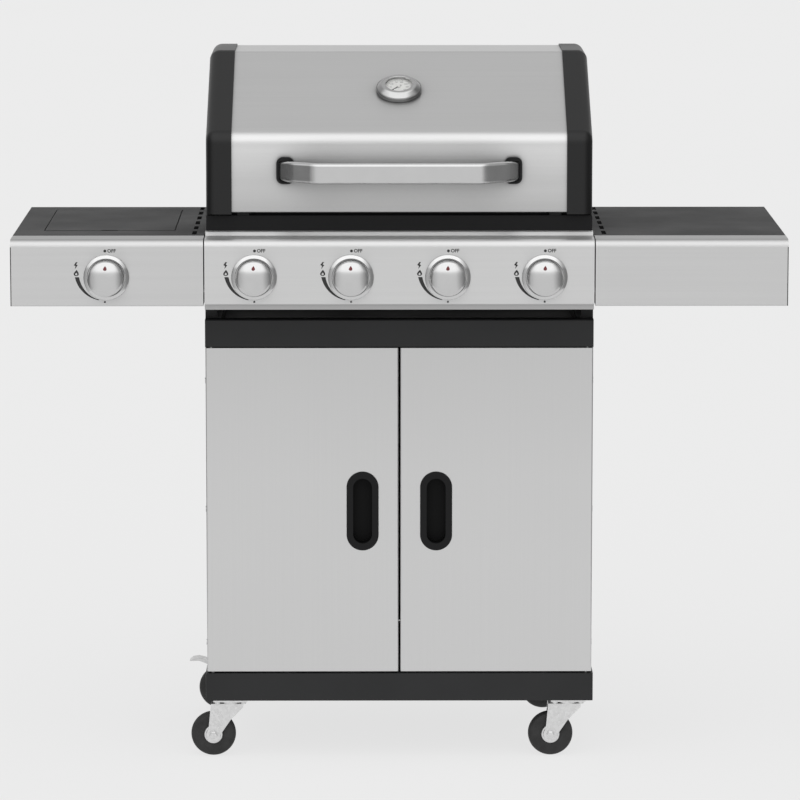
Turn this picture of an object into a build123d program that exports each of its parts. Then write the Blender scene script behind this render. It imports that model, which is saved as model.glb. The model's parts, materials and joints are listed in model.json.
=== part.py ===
"""Gas barbecue on a two-door cabinet trolley, with a side burner and a side shelf.

The frame has +Z up, +X to the right of a person who stands in front of the knobs, and +Y
towards the back.  The origin is on the floor under the middle of the object.  Lengths are
in millimetres.  A "depth" is a distance behind the front face of the control panel.
"""

import os
from math import cos, radians, sin, tan

from build123d import *

os.makedirs("parts", exist_ok=True)

# ---------------------------------------------------------------- driving dimensions
FRONT = -235.0                 # y of the control panel's and the side shelves' front face
SHEET = 1.2                    # thickness of the folded sheet parts
HALF_SHEET = SHEET / 2
FRONT_FOLD = 12.0              # fold between a front face and the top behind it
RUNNING = 0.05                 # radial clearance of a running fit

SHELF_X = (327.0, 648.0)       # |x| of a side shelf's inner and outer edge
CABINET_HALF = 326.0           # half of the cabinet's width
BACK_DEPTH = 507.0             # depth of the shelves' back edge
SHELF_BAND = 62.0              # depth of the stainless band on top of each shelf
SHELF_Z = (778.0, 889.5)       # bottom edge and top of a side shelf

BASE_HALF = 328.0
BASE_DEPTH = (36.0, 500.0)
BASE_Z = (99.0, 146.0)         # underside and top of the base pan
BASE_LIP = 32.0                # width of the base pan's top flange
DOOR_Z = (149.0, 702.0)
DOOR_DEPTH = (40.0, 60.0)      # front face and back edge of a closed door
DOOR_GAP = 3.2                 # gap between the two doors
DOOR_PIVOT = (316.0, 50.0)     # |x| and depth of a door's hinge axis
PIN_R = 3.0                    # door hinge pins
GRIP_X = 62.0                  # |x| of the middle of a door's recessed grip
GRIP_Z = 424.6
RAIL_Z = (703.5, 750.0)
SIDE_DEPTH = (66.0, 498.5)     # front and back edge of the cabinet's side panels
SIDE_TOP_Z = 801.0
TRAY_RUNNER_Z = 711.0          # top of the runners that carry the grease tray

PANEL_HALF = 325.0
PANEL_TOP_Z = 889.5
KNOB_Z = 827.0
KNOB_PITCH = 161.4             # spacing of the four main burners and their knobs
SIDE_KNOB_X = -488.0
MAIN_XS = [(i - 1.5) * KNOB_PITCH for i in range(4)]
KNOBS = dict(zip(("side", "one", "two", "three", "four"), [SIDE_KNOB_X] + MAIN_XS))
KNOB_R = 29.5
KNOB_FRONT = -38.0             # depth of the foremost point of a knob
KNOB_DOME = 62.5               # radius of a knob's domed front
STEM_R = 4.0
MANIFOLD = (38.0, 802.0)       # depth and height of the gas manifold's axis
MANIFOLD_R = 9.0
INLET = (350.0, 8.3)           # x of the gas inlet's axis, and its thread's outer radius

BOX_HALF = 324.0               # firebox
BOX_DEPTH = (74.0, 470.0)
BOX_SHEET = 1.5
RIM_Z = 922.0
GRATE_Z = (898.0, 910.0)

LID_FACE = 65.0                # depth of the lid's vertical front face
LID_BACK = 482.0
LID_Z = (928.0, 1180.0)        # bottom edge and top of the lid's skin
LID_CORNER_Z = 1057.0          # height where the vertical face would meet the sloping one
LID_SLOPE = radians(27.4)      # the sloping face above the horizontal
LID_SKIN_HALF = 304.0
LID_REAR_Z = 955.0             # bottom edge of the lid's back wall
LID_RADII = (22.0, 18.0, 32.0)  # bends at the front, the top front and the top back
CAP_X = (281.0, 324.0)         # |x| of the lid's end caps
CAP_WALL = 2.4
CAP_Z = 925.0
CAP_ROUND = 17.0
LID_PIVOT = (462.0, 947.0)     # depth and height of the lid's hinge axis
LID_PIN_R = 4.0
HANDLE_Z = 998.0
HANDLE_DEPTH = 18.0            # depth of the middle of the handle's bar
HANDLE_KNEES = ((138.0, 18.0), (176.3, 43.5))  # |x| and depth of the two bends in each leg
SEAT_X = 190.8
THERMO_DEPTH = 190.0

BURNER_LID_X = (-599.0, -380.0)
BURNER_LID_DEPTH = (137.0, 455.0)
BURNER_LID_PIVOT = (452.0, 884.0)
BURNER_MID = (-489.5, 297.0)   # x and depth of the side burner
WELL_FLOOR_Z = 845.0

CASTER_X = 286.5
CASTER_DEPTHS = {"front": 62.0, "rear": 440.0}
TRAIL = 29.5                   # caster wheel centre to swivel axis
WHEEL_R = 38.0
HUB_R = 16.3
AXLE_R = 4.0
FORK_GAP = 15.0                # half of the room between a fork's legs
FORK_TOP_Z = 91.5
PEDAL_PIVOT = (-38.5, 80.5)    # x from the swivel axis, and height


# ---------------------------------------------------------------- small helpers
def at(depth):
    """y of a depth behind the control panel's face."""
    return FRONT + depth


def save(builder, name):
    """Labels one sub-part and writes its STEP file."""
    builder.part.label = name
    export_step(builder.part, f"parts/{name}.step")


def block(x, depth, z, mode=Mode.ADD):
    """A box in the running part, from ranges of x, depth and z."""
    middle = (sum(x) / 2, at(sum(depth) / 2), sum(z) / 2)
    with Locations(middle):
        Box(abs(x[1] - x[0]), depth[1] - depth[0], z[1] - z[0], mode=mode)


def rod(x, depth, z, radius, mode=Mode.ADD):
    """A cylinder in the running part.  The one range among x, depth and z gives its axis."""
    spans = [v if isinstance(v, tuple) else (v, v) for v in (x, depth, z)]
    middle = [sum(s) / 2 for s in spans]
    lengths = [abs(s[1] - s[0]) for s in spans]
    turn = [(0, 90, 0), (90, 0, 0), (0, 0, 0)][lengths.index(max(lengths))]
    with Locations((middle[0], at(middle[1]), middle[2])):
        Cylinder(radius, max(lengths), rotation=turn, mode=mode)


def side_plane(x):
    """A sketch plane at x, whose first axis is +Y and whose second axis is +Z."""
    return Plane(origin=(x, 0, 0), x_dir=(0, 1, 0), z_dir=(1, 0, 0))


def front_plane(depth):
    """A sketch plane at a depth that faces forwards, with first axis +X and second +Z."""
    return Plane(origin=(0, at(depth), 0), x_dir=(1, 0, 0), z_dir=(0, -1, 0))


def folded(points, radii, x):
    """Adds a folded sheet: the (depth, z) line of its mid-surface, extruded over x."""
    with BuildSketch(side_plane(x[0])) as profile:
        with BuildLine():
            FilletPolyline(*[(at(d), z) for d, z in points], radius=radii)
        trace(line_width=SHEET)
    extrude(profile.sketch, amount=x[1] - x[0])


def two_sides(half_width):
    """Both signs of an |x|, as locations for a mirrored pair."""
    return [-half_width, half_width]


# ---------------------------------------------------------------- cabinet
with BuildPart() as base_pan:
    inner = BASE_HALF - SHEET
    block((-BASE_HALF, BASE_HALF), BASE_DEPTH, BASE_Z)
    fillet(base_pan.edges().filter_by(Axis.Z), 3)
    block((-inner, inner), (BASE_DEPTH[0] + SHEET, BASE_DEPTH[1] - SHEET),
          (BASE_Z[0] + SHEET, BASE_Z[1] - SHEET), Mode.SUBTRACT)
    mouth = BASE_HALF - BASE_LIP
    block((-mouth, mouth), (BASE_DEPTH[0] + BASE_LIP, BASE_DEPTH[1] - BASE_LIP),
          (BASE_Z[1] - 3, BASE_Z[1] + 1), Mode.SUBTRACT)
    for x in two_sides(DOOR_PIVOT[0]):
        rod(x, DOOR_PIVOT[1], (BASE_Z[1] - 3, BASE_Z[1] + 1), PIN_R, Mode.SUBTRACT)
save(base_pan, "base_pan")

for side, sign in (("left", -1), ("right", 1)):
    edge = sign * CABINET_HALF
    sheet_in = sign * (CABINET_HALF - SHEET)
    flange_in = sign * (CABINET_HALF - 20)
    runner_in = sign * (CABINET_HALF - 30)
    with BuildPart() as side_panel:
        block((edge, sheet_in), SIDE_DEPTH, (BASE_Z[1], SIDE_TOP_Z))
        block((edge, flange_in), (SIDE_DEPTH[0], SIDE_DEPTH[0] + SHEET), (BASE_Z[1], SIDE_TOP_Z))
        block((edge, flange_in), (SIDE_DEPTH[1] - SHEET, SIDE_DEPTH[1]), (BASE_Z[1], SIDE_TOP_Z))
        block((sheet_in, runner_in), (80, 490), (TRAY_RUNNER_Z - 1.5, TRAY_RUNNER_Z))
        block((sheet_in, sheet_in - sign * SHEET), (80, 490), (TRAY_RUNNER_Z - 16, TRAY_RUNNER_Z))
    save(side_panel, f"side_panel_{side}")

with BuildPart() as rear_panel:
    block((-304, 304), (SIDE_DEPTH[1] - 2 * SHEET - 0.1, SIDE_DEPTH[1] - SHEET - 0.1), (147.5, 700))
    for z in (180, 200, 220, 240):
        with BuildSketch(front_plane(SIDE_DEPTH[1])):
            with Locations(*[(x, z) for x in (-225, -75, 75, 225)]):
                SlotOverall(90, 7)
        extrude(amount=6, mode=Mode.SUBTRACT)
    block((-324, 324), (SIDE_DEPTH[1], SIDE_DEPTH[1] + SHEET), (660, 700))
    block((-324, 324), (SIDE_DEPTH[1] - 2 * SHEET, SIDE_DEPTH[1] + SHEET), (698.8, 700))
    block((-324, -305.9), (SIDE_DEPTH[0], SIDE_DEPTH[1]), (640, 705), Mode.SUBTRACT)
    block((305.9, 324), (SIDE_DEPTH[0], SIDE_DEPTH[1]), (640, 705), Mode.SUBTRACT)
save(rear_panel, "rear_panel")

with BuildPart() as front_rail:
    top, bottom = RAIL_Z[1] - HALF_SHEET, RAIL_Z[0] + HALF_SHEET
    face = DOOR_DEPTH[0] + HALF_SHEET
    folded([(SIDE_DEPTH[0], bottom), (face, bottom), (face, top), (SIDE_DEPTH[0], top)],
           [1.5, 2.5], (-CABINET_HALF, CABINET_HALF))
    for x in two_sides(DOOR_PIVOT[0]):
        rod(x, DOOR_PIVOT[1], (RAIL_Z[0] - 1, RAIL_Z[0] + 3), PIN_R, Mode.SUBTRACT)
save(front_rail, "front_rail")

with BuildPart() as door_magnets:
    for x in two_sides(30):
        block((x - 17, x + 17), (DOOR_DEPTH[1] + 0.5, SIDE_DEPTH[0]), (689, RAIL_Z[0]))
save(door_magnets, "door_magnets")

with BuildPart() as hinge_pins:
    for x in two_sides(DOOR_PIVOT[0]):
        rod(x, DOOR_PIVOT[1], (BASE_Z[1] - 5, BASE_Z[1] + 14), PIN_R)
        rod(x, DOOR_PIVOT[1], (RAIL_Z[0] - 12, RAIL_Z[0] + 5), PIN_R)
    for sign in (-1, 1):
        rod((sign * 309, sign * 325), LID_PIVOT[0], LID_PIVOT[1], LID_PIN_R)
        rod((sign * 324.5, sign * 326.7), LID_PIVOT[0], LID_PIVOT[1], 8)
        rod((sign * 308, sign * 311.9), LID_PIVOT[0], LID_PIVOT[1], 7)
save(hinge_pins, "hinge_pins")

for side, sign in (("left", -1), ("right", 1)):
    x_out, x_in = sign * (CABINET_HALF - 0.5), sign * DOOR_GAP / 2
    with BuildPart() as door:
        block((x_out, x_in), DOOR_DEPTH, DOOR_Z)
        fillet(door.edges().filter_by(Axis.Z).sort_by(Axis.Y)[:2], 2.5)
        block((x_out - sign * SHEET, x_in + sign * SHEET),
              (DOOR_DEPTH[0] + SHEET, DOOR_DEPTH[1] + 1),
              (DOOR_Z[0] + SHEET, DOOR_Z[1] - SHEET), Mode.SUBTRACT)
        with BuildSketch(front_plane(DOOR_DEPTH[0] + 2)):
            with Locations((sign * GRIP_X, GRIP_Z)):
                SlotOverall(127, 46, rotation=90)
        extrude(amount=3, mode=Mode.SUBTRACT)
        rod(sign * DOOR_PIVOT[0], DOOR_PIVOT[1], (DOOR_Z[0] - 1, DOOR_Z[1] + 1),
            PIN_R + RUNNING, Mode.SUBTRACT)
    save(door, f"door_{side}")

    with BuildPart() as grip:
        for overall, width, near, far, mode in (
            (135, 54, -1.8, 0, Mode.ADD),
            (126.6, 45.6, 0, 24, Mode.ADD),
            (111, 32, -2, 22.4, Mode.SUBTRACT),
        ):
            with BuildSketch(front_plane(DOOR_DEPTH[0] + far)):
                with Locations((sign * GRIP_X, GRIP_Z)):
                    SlotOverall(overall, width, rotation=90)
            extrude(amount=far - near, mode=mode)
        rim = grip.faces().sort_by(Axis.Y)[0].outer_wire().edges()
        fillet(rim, 1.2)
    save(grip, f"door_grip_{side}")

with BuildPart() as grease_tray:
    tray_z = (TRAY_RUNNER_Z + 0.3, TRAY_RUNNER_Z + 24)
    block((-303, 303), (90, 500), tray_z)
    fillet(grease_tray.edges().filter_by(Axis.Z), 6)
    block((-303 + SHEET, 303 - SHEET), (90 + SHEET, 500 - SHEET),
          (tray_z[0] + SHEET, tray_z[1] + 1), Mode.SUBTRACT)
    block((-60, 60), (500, 508), (728, 730))
    block((-60, 60), (506.5, 508), (716, 730))
save(grease_tray, "grease_tray")

# ---------------------------------------------------------------- control panel and gas
with BuildPart() as control_panel:
    face, top = HALF_SHEET, PANEL_TOP_Z - HALF_SHEET
    folded([(14, 770.6), (14, 780.6), (face, 780.6), (face, top), (54, top), (62, 896),
            (BOX_DEPTH[0] - 0.5, 896)],
           [1.5, 1.5, FRONT_FOLD, 4, 4], (-PANEL_HALF, PANEL_HALF))
    for x in MAIN_XS:
        rod(x, (-2, 4), KNOB_Z, 6, Mode.SUBTRACT)
save(control_panel, "control_panel")

with BuildPart() as knob_bezels:
    for x in KNOBS.values():
        rod(x, (-9, 0), KNOB_Z, 38)
    chamfer(knob_bezels.edges().filter_by(GeomType.CIRCLE).group_by(Axis.Y)[0], 3.5)
    for x in KNOBS.values():
        rod(x, (-10, 1), KNOB_Z, KNOB_R + 2, Mode.SUBTRACT)
save(knob_bezels, "knob_bezels")

with BuildPart() as valve_bodies:
    for name, x in KNOBS.items():
        pipe_top = MANIFOLD[1] + (5 if name == "side" else MANIFOLD_R)
        block((x - 12, x + 12), (14, 50), (813, 841))
        rod(x, MANIFOLD[0], (pipe_top, 814), 4.5)
        rod(x, (50, 60), KNOB_Z, 5)
        rod(x, (13, 28), KNOB_Z, STEM_R + 0.1, Mode.SUBTRACT)
save(valve_bodies, "valve_bodies")

with BuildPart() as gas_manifold:
    depth, z = MANIFOLD
    rod((-300, 318), depth, z, MANIFOLD_R)
    rod((-301, -480), depth, z, 5)
    rod((317, INLET[0] - 8), depth, z, 6)
    block((INLET[0] - 9, INLET[0] + 9), (depth - 9, depth + 10), (z - 9, z + 9))
    chamfer(gas_manifold.edges().filter_by(Axis.Y).sort_by(Axis.X)[-4:], 2)
    rod(INLET[0], (depth + 9, depth + 37), z, INLET[1])
    rod((300, INLET[0]), depth, z, 4, Mode.SUBTRACT)
    rod(INLET[0], (depth, depth + 38), z, 4, Mode.SUBTRACT)
save(gas_manifold, "gas_manifold")

for name, x in KNOBS.items():
    with BuildPart() as stem:
        rod(x, (-23.6, 20), KNOB_Z, STEM_R)
        rod(x, (8, 9.5), KNOB_Z, 7)
    save(stem, f"knob_stem_{name}")

    with BuildPart() as knob:
        rod(x, (KNOB_FRONT - 1, -6), KNOB_Z, KNOB_R)
        with Locations((x, at(KNOB_FRONT + KNOB_DOME), KNOB_Z)):
            Sphere(KNOB_DOME, mode=Mode.INTERSECT)
        fillet(knob.edges().filter_by(GeomType.CIRCLE).sort_by(Axis.Y)[0], 2)
        rod(x, (-24, -5), KNOB_Z, STEM_R + RUNNING, Mode.SUBTRACT)
    save(knob, f"knob_{name}")

# ---------------------------------------------------------------- firebox
box_front, box_back = BOX_DEPTH
outline = [(box_front, RIM_Z), (box_front, 790), (230, 756), (330, 756), (box_back, 790),
           (box_back, RIM_Z)]
with BuildPart() as firebox:
    with BuildSketch(side_plane(-BOX_HALF)):
        with BuildLine():
            Polyline(*[(at(d), z) for d, z in outline], close=True)
        make_face()
    extrude(amount=2 * BOX_HALF)
    with BuildSketch(side_plane(-BOX_HALF + BOX_SHEET)):
        with BuildLine():
            Polyline((at(box_front + BOX_SHEET), RIM_Z - BOX_SHEET),
                     (at(box_front + BOX_SHEET), 791), (at(230), 756 + BOX_SHEET),
                     (at(330), 756 + BOX_SHEET), (at(box_back - BOX_SHEET), 791),
                     (at(box_back - BOX_SHEET), RIM_Z - BOX_SHEET), close=True)
        make_face()
    extrude(amount=2 * (BOX_HALF - BOX_SHEET), mode=Mode.SUBTRACT)
    rim_in = BOX_HALF - 9
    block((-rim_in, rim_in), (box_front + 14, box_back - 14), (RIM_Z - 4, RIM_Z + 1), Mode.SUBTRACT)
    inside = BOX_HALF - BOX_SHEET
    for near, far in ((box_front + BOX_SHEET, 98), (446, box_back - BOX_SHEET)):
        block((-inside, inside), (near, far), (GRATE_Z[0] - BOX_SHEET, GRATE_Z[0]))
    block((-300, 300), (box_front + 12.5, box_front + 14), (RIM_Z - BOX_SHEET, RIM_Z + 14))
    block((-150, 150), (240, 320), (750, 765), Mode.SUBTRACT)
    for x in MAIN_XS:
        rod(x, (box_front - 2, box_front + 4), KNOB_Z, 13.6, Mode.SUBTRACT)
    for x in (-220, -110, 0, 110, 220):
        with BuildSketch(front_plane(box_back + 2)):
            with Locations((x, 872)):
                SlotOverall(80, 12)
        extrude(amount=6, mode=Mode.SUBTRACT)
    for sign in (-1, 1):
        block((sign * 312, sign * 315), (453, 469.4), (905, LID_PIVOT[1] + 12))
        block((sign * 312, sign * inside), (453, 468), (905, 907))
        rod((sign * 311, sign * 316), LID_PIVOT[0], LID_PIVOT[1], LID_PIN_R, Mode.SUBTRACT)
save(firebox, "firebox")

with BuildPart() as burners:
    for x in MAIN_XS:
        rod(x, (56, box_back - BOX_SHEET), KNOB_Z, 13)
        rod(x, (55, 440), KNOB_Z, 11.6, Mode.SUBTRACT)
        for side in (-1, 1):
            block((x + side * 9, x + side * 16), (120, 430), (833, 834.2), Mode.SUBTRACT)
save(burners, "burners")

with BuildPart() as flame_tamers:
    for x in MAIN_XS:
        with BuildSketch(front_plane(box_back - BOX_SHEET)):
            with BuildLine():
                FilletPolyline((x - 58, 852), (x - 52, 852), (x, 884), (x + 52, 852),
                               (x + 58, 852), radius=[2, 3, 2])
            trace(line_width=SHEET)
        extrude(amount=box_back - box_front - 2 * BOX_SHEET)
save(flame_tamers, "flame_tamers")

GRATE_DEPTH = (91.0, 453.0)
with BuildPart() as cooking_grates:
    for x0, x1 in ((-314, -2), (2, 314)):
        for x in (x0 + 4, x1 - 4):
            block((x - 4, x + 4), GRATE_DEPTH, GRATE_Z)
        for depth in (GRATE_DEPTH[0] + 4, sum(GRATE_DEPTH) / 2, GRATE_DEPTH[1] - 4):
            block((x0, x1), (depth - 4, depth + 4), (GRATE_Z[0], GRATE_Z[1] - 3))
        bars = 15
        for i in range(1, bars + 1):
            x = x0 + 4 + i * (x1 - x0 - 8) / (bars + 1)
            block((x - 3, x + 3), GRATE_DEPTH, (GRATE_Z[0] + 2, GRATE_Z[1]))
save(cooking_grates, "cooking_grates")

RACK_Z = 1012.0
with BuildPart() as warming_rack:
    for x in (-143, 0, 143):
        rod(x, (341, 447), RACK_Z, 3)
    for i in range(9):
        rod((-285, 285), 340 + i * 13.5, RACK_Z, 2)
    for x in two_sides(286):
        block((x - 3.5, x + 3.5), (336, 452), (RACK_Z - 3.5, RACK_Z + 3.5))
        for depth in (340, 448):
            block((x - 3, x + 3), (depth - 3, depth + 3), (GRATE_Z[1], RACK_Z))
save(warming_rack, "warming_rack")

with BuildPart() as lid_buffers:
    for x in two_sides(262):
        block((x - 10, x + 10), (box_front + 2, box_front + 12), (RIM_Z, LID_Z[0] - 0.3))
save(lid_buffers, "lid_buffers")


# ---------------------------------------------------------------- lid
def lid_line(inset, bottom):
    """The lid's side outline as (depth, z) points, moved in by inset and cut at bottom."""
    slope_drop = inset / cos(LID_SLOPE)
    front_z = LID_CORNER_Z + inset * tan(LID_SLOPE) - slope_drop
    top = LID_Z[1] - inset
    top_depth = LID_FACE + (top - LID_CORNER_Z + slope_drop) / tan(LID_SLOPE)
    return [(LID_FACE + inset, bottom), (LID_FACE + inset, front_z), (top_depth, top),
            (LID_BACK - inset, top), (LID_BACK - inset, bottom)]


def lid_solid(inset, bottom, x, sign):
    """Adds the lid's whole side outline as a solid from |x| x[0] to x[1], on one side."""
    radii = [r - inset for r in LID_RADII]
    points = [(at(d), z) for d, z in lid_line(inset, bottom)]
    with BuildSketch(side_plane(sign * x[0])) as profile:
        with BuildLine():
            FilletPolyline(*points, radius=radii)
            Line(points[-1], points[0])
        make_face()
    extrude(profile.sketch, amount=sign * (x[1] - x[0]))


slope_normal = (0, -sin(LID_SLOPE), cos(LID_SLOPE))
thermo_z = LID_CORNER_Z + (THERMO_DEPTH - LID_FACE) * tan(LID_SLOPE)
thermo_plane = Plane(origin=(0, at(THERMO_DEPTH), thermo_z), x_dir=(1, 0, 0), z_dir=slope_normal)

with BuildPart() as lid_skin:
    mid = lid_line(HALF_SHEET, LID_Z[0] + HALF_SHEET)
    hem = (LID_FACE + 20, LID_Z[0] + HALF_SHEET)
    rear_end = (mid[4][0], LID_REAR_Z)
    radii = [1.5] + [r - HALF_SHEET for r in LID_RADII]
    folded([hem] + mid[:4] + [rear_end], radii, (-LID_SKIN_HALF, LID_SKIN_HALF))
    with Locations(thermo_plane):
        Cylinder(5, 20, mode=Mode.SUBTRACT)
save(lid_skin, "lid_skin")

for side, sign in (("left", -1), ("right", 1)):
    plate_x = CAP_X[1] - CAP_WALL
    with BuildPart() as inside_of_cap:
        lid_solid(-0.1, CAP_Z - 5, (CAP_X[0] - 1, plate_x), sign)
        outer = inside_of_cap.faces().sort_by(Axis.X)[0 if sign < 0 else -1]
        fillet(outer.edges().sort_by(Axis.Z)[1:], CAP_ROUND - CAP_WALL)
    with BuildPart() as lid_cap:
        lid_solid(-0.1 - CAP_WALL, CAP_Z, CAP_X, sign)
        outer = lid_cap.faces().sort_by(Axis.X)[0 if sign < 0 else -1]
        fillet(outer.edges().sort_by(Axis.Z)[1:], CAP_ROUND)
        add(inside_of_cap.part, mode=Mode.SUBTRACT)
        block((sign * CAP_X[0], sign * (plate_x - 0.5)), (LID_PIVOT[0] - 20, LID_BACK + 10),
              (CAP_Z - 1, LID_REAR_Z), Mode.SUBTRACT)
        with BuildSketch(side_plane(sign * (CAP_X[0] - 1))):
            with Locations((at(LID_PIVOT[0] + 15), LID_PIVOT[1] - 15)):
                Rectangle(30, 30)
            with Locations((at(LID_PIVOT[0]), LID_PIVOT[1])):
                Circle(LID_PIVOT[1] - CAP_Z, mode=Mode.SUBTRACT)
        extrude(amount=sign * 50, mode=Mode.SUBTRACT)
        rod((sign * plate_x - sign, sign * CAP_X[1] + sign), LID_PIVOT[0], LID_PIVOT[1],
            LID_PIN_R + RUNNING, Mode.SUBTRACT)
    save(lid_cap, f"lid_cap_{side}")

SEAT_FLOOR = 61.9
foot = (196.5, 64.9)           # |x| and depth of the handle's ends before they are cut flat
run, rise = foot[0] - HANDLE_KNEES[1][0], HANDLE_KNEES[1][1] - foot[1]
with BuildPart() as lid_handle:
    leg = [foot, HANDLE_KNEES[1], HANDLE_KNEES[0]]
    line = [(-x, at(depth)) for x, depth in leg] + [(x, at(depth)) for x, depth in reversed(leg)]
    with BuildLine(Plane.XY.offset(HANDLE_Z)):
        FilletPolyline(*line, radius=[40, 30, 30, 40])
    with BuildSketch(Plane(origin=(-foot[0], at(foot[1]), HANDLE_Z), x_dir=(-rise, -run, 0),
                           z_dir=(run, rise, 0))):
        RectangleRounded(14, 35, 6)
    sweep()
    block((-220, 220), (SEAT_FLOOR, LID_FACE + 20), (HANDLE_Z - 30, HANDLE_Z + 30), Mode.SUBTRACT)
save(lid_handle, "lid_handle")

with BuildPart() as handle_seats:
    for sign in (-1, 1):
        for width, height, near, far, mode in (
            (30, 45, 57.5, LID_FACE - 0.05, Mode.ADD),
            (27, 42, 57, SEAT_FLOOR + 0.05, Mode.SUBTRACT),
        ):
            with BuildSketch(front_plane(far)):
                with Locations((sign * SEAT_X, HANDLE_Z + 1)):
                    RectangleRounded(width, height, width / 2 - 4)
            extrude(amount=far - near, mode=mode)
save(handle_seats, "handle_seats")

ON_SKIN = (Align.CENTER, Align.CENTER, Align.MIN)
with BuildPart() as thermometer_case:
    with Locations(thermo_plane.offset(0.1)):
        Cylinder(38, 14, align=ON_SKIN)
    rim = thermometer_case.edges().filter_by(GeomType.CIRCLE).sort_by(Axis.Z)[-1]
    fillet(rim, 9)
    with Locations(thermo_plane.offset(7)):
        Cylinder(24.5, 10, align=ON_SKIN, mode=Mode.SUBTRACT)
    with Locations(thermo_plane.offset(-60)):
        Cylinder(4, 62, align=ON_SKIN)
save(thermometer_case, "thermometer_case")

with BuildPart() as thermometer_dial:
    with Locations(thermo_plane.offset(7)):
        Cylinder(24.4, 1, align=ON_SKIN)
    with Locations(thermo_plane.offset(7.9)):
        Cylinder(3, 2, align=ON_SKIN)
        with Locations(Location((0, 0, 0), (0, 0, 35))):
            with Locations((0, 7, 0.3)):
                Box(1.4, 22, 0.6, align=ON_SKIN)
save(thermometer_dial, "thermometer_dial")

with BuildPart() as thermometer_glass:
    with Locations(thermo_plane.offset(11)):
        Cylinder(24.4, 1.8, align=ON_SKIN)
save(thermometer_glass, "thermometer_glass")

# ---------------------------------------------------------------- side shelves
SLOT_DEPTHS = [106 + 75.4 * i for i in range(6)]
for side, sign in (("left", -1), ("right", 1)):
    x_in, x_out = sign * SHELF_X[0], sign * SHELF_X[1]
    band = SHELF_BAND + 0.2
    with BuildPart() as shelf_top:
        block((x_in, x_out), (band, BACK_DEPTH), SHELF_Z)
        block((x_in + sign * SHEET, x_out - sign * SHEET), (band - 1, BACK_DEPTH - SHEET),
              (SHELF_Z[0] - 1, SHELF_Z[1] - SHEET), Mode.SUBTRACT)
        block((x_in, x_out - sign * SHEET), (band - 1, BACK_DEPTH - 1.5), (SHELF_Z[0] - 1, 800),
              Mode.SUBTRACT)
        block((x_in, x_out - sign * SHEET), (BACK_DEPTH - 2, BACK_DEPTH + 1), (SHELF_Z[0] - 1, 830),
              Mode.SUBTRACT)
        for depth in SLOT_DEPTHS:
            block((sign * 341, sign * 348.5), (depth - 24, min(depth + 24, BACK_DEPTH - 6)),
                  (SHELF_Z[1] - 3, SHELF_Z[1] + 1), Mode.SUBTRACT)
        if side == "left":
            block((BURNER_LID_X[0] - 1.5, BURNER_LID_X[1] + 1.5),
                  (BURNER_LID_DEPTH[0] - 1.5, BURNER_LID_DEPTH[1] + 6),
                  (SHELF_Z[1] - 3, SHELF_Z[1] + 1), Mode.SUBTRACT)
    save(shelf_top, f"shelf_top_{side}")

    with BuildPart() as fascia:
        top, bottom = SHELF_Z[1] - HALF_SHEET, SHELF_Z[0] + HALF_SHEET
        folded([(14, bottom), (HALF_SHEET, bottom), (HALF_SHEET, top), (SHELF_BAND, top)],
               [1.5, FRONT_FOLD], sorted((x_in, x_out)))
        for x, way in ((x_out, -sign), (x_in, sign)):
            with BuildSketch(side_plane(x)):
                with BuildLine():
                    FilletPolyline((at(14), bottom), (at(HALF_SHEET), bottom), (at(HALF_SHEET), top),
                                   (at(SHELF_BAND), top), radius=[1.5, FRONT_FOLD])
                    Polyline((at(SHELF_BAND), top), (at(SHELF_BAND), bottom), (at(14), bottom))
                make_face()
            extrude(amount=way * SHEET)
        rod((x_in - sign, x_in + sign * 3), MANIFOLD[0], MANIFOLD[1], 8, Mode.SUBTRACT)
        if side == "left":
            rod(SIDE_KNOB_X, (-2, 4), KNOB_Z, 6, Mode.SUBTRACT)
    save(fascia, f"shelf_fascia_{side}")

with BuildPart() as fasteners:
    for sign in (-1, 1):
        for depth in (110, 230, 350, 445):
            rod((sign * BOX_HALF, sign * SHELF_X[0]), depth, 862, 9)
            rod((sign * (SHELF_X[0] + SHEET), sign * (SHELF_X[0] + 6)), depth, 862, 7)
        for depth in (90, 282, 474):
            for z in (190, 420, 640, 770):
                rod((sign * CABINET_HALF, sign * (CABINET_HALF + 2)), depth, z, 5)
save(fasteners, "panel_fasteners")

with BuildPart() as side_burner_well:
    well_x = (BURNER_LID_X[0] - 3, BURNER_LID_X[1] + 3)
    well_depth = (BURNER_LID_DEPTH[0] - 3, BURNER_LID_DEPTH[1] + 8)
    under = SHELF_Z[1] - SHEET
    block((well_x[0] - 10, well_x[1] + 10), (well_depth[0] - 10, well_depth[1] + 10),
          (under - SHEET, under))
    block((well_x[0] - SHEET, well_x[1] + SHEET), (well_depth[0] - SHEET, well_depth[1] + SHEET),
          (WELL_FLOOR_Z, under))
    block(well_x, well_depth, (WELL_FLOOR_Z + SHEET, under + 1), Mode.SUBTRACT)
    rod(BURNER_MID[0], BURNER_MID[1], (WELL_FLOOR_Z - 1, WELL_FLOOR_Z + 3), 12, Mode.SUBTRACT)
    for x0, x1 in ((well_x[0], BURNER_LID_X[0] + 5), (well_x[1], BURNER_LID_X[1] - 5)):
        rod((x0, x1), BURNER_LID_PIVOT[0], BURNER_LID_PIVOT[1], 2)
save(side_burner_well, "side_burner_well")

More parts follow.
